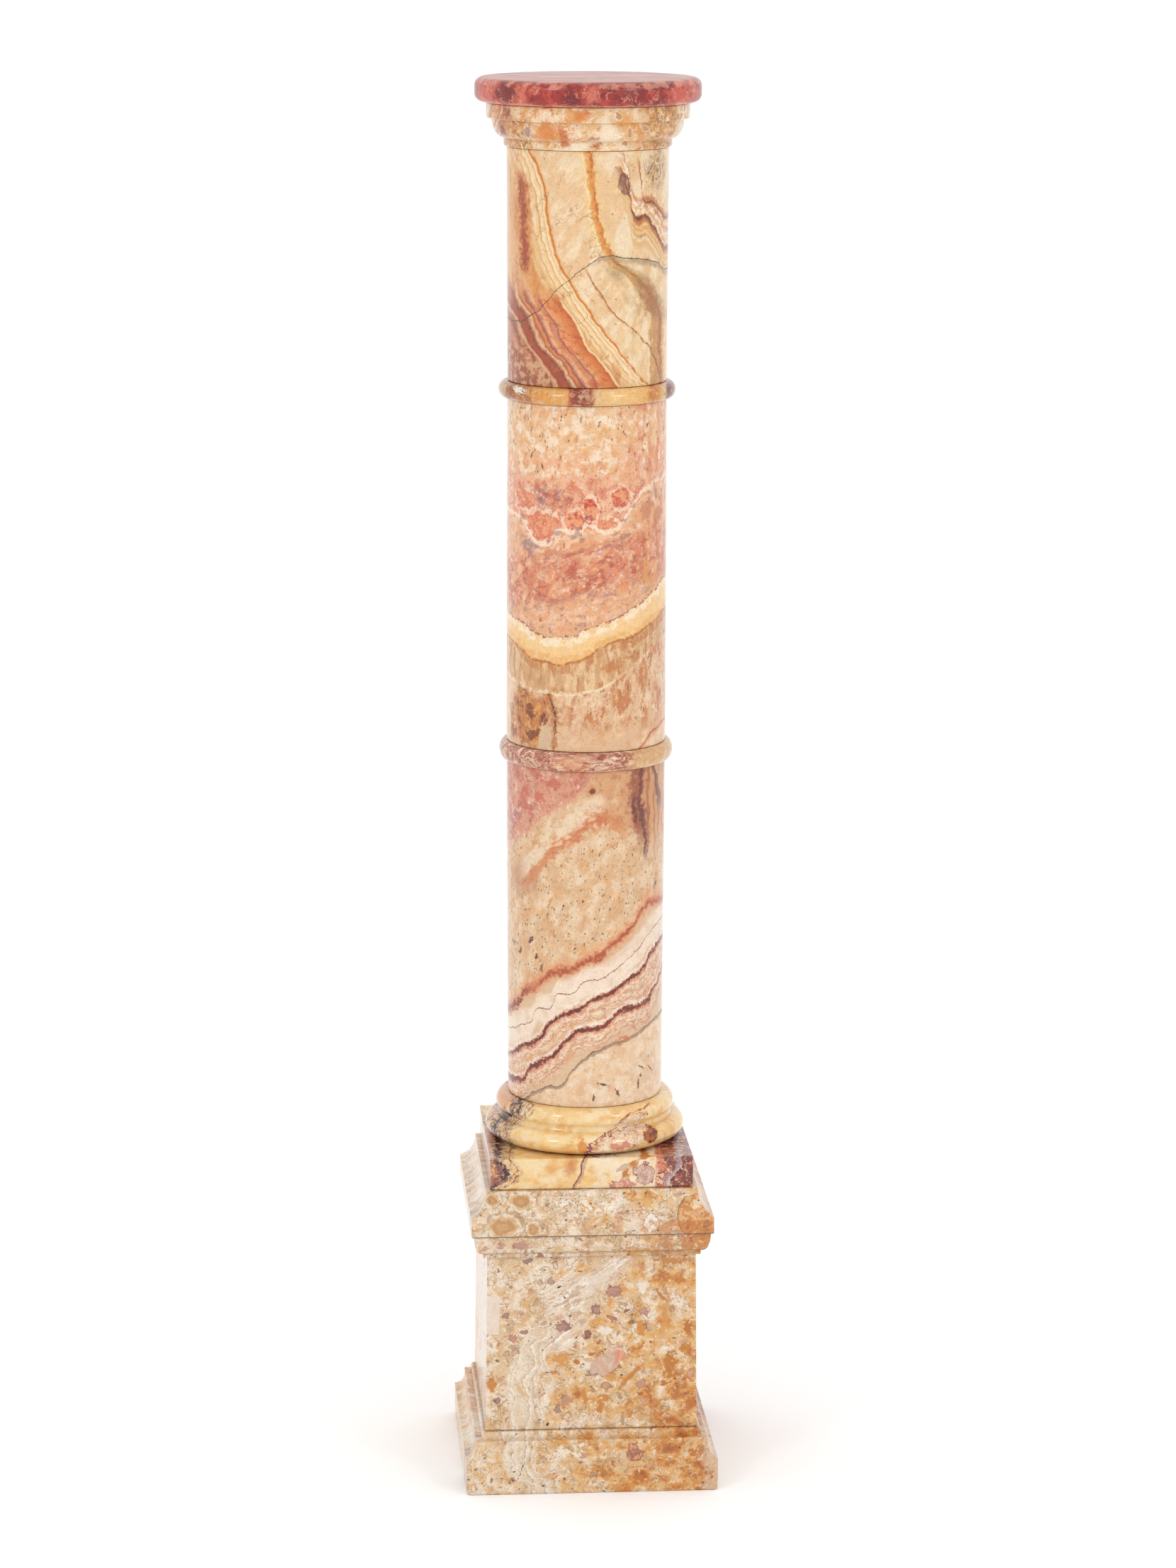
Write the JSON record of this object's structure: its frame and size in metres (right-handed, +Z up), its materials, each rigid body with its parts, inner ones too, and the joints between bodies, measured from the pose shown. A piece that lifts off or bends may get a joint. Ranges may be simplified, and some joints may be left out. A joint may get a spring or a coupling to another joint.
{
  "type": "onyx column pedestal",
  "caption": "Tall turned onyx column on a moulded square block, with banded rings, a round capital and a red marble disc on top to stand a bust or vase on.",
  "frame": {"origin": "middle of the underside, on the floor", "axes": "+Z up along the column's axis, -Y towards the front face of the block"},
  "size_m": [0.2038, 0.2038, 1.13],
  "materials": {
    "shelly_onyx": "polished, brecciated",
    "honey_onyx": "polished, translucent honey",
    "cream_onyx": "polished, banded cream",
    "veined_onyx": "polished, brick-red veins",
    "pink_onyx": "polished, pink and cream bands",
    "red_marble": "polished red marble"
  },
  "bodies": {
    "root": {"pedestal_base": "shelly_onyx", "pedestal_die": "shelly_onyx", "pedestal_cap": "shelly_onyx", "column_base": "honey_onyx", "lower_drum": "cream_onyx", "lower_ring": "veined_onyx", "middle_drum": "pink_onyx", "upper_ring": "honey_onyx", "upper_drum": "cream_onyx", "capital": "cream_onyx", "top_disc": "red_marble"}
  },
  "joints": []
}
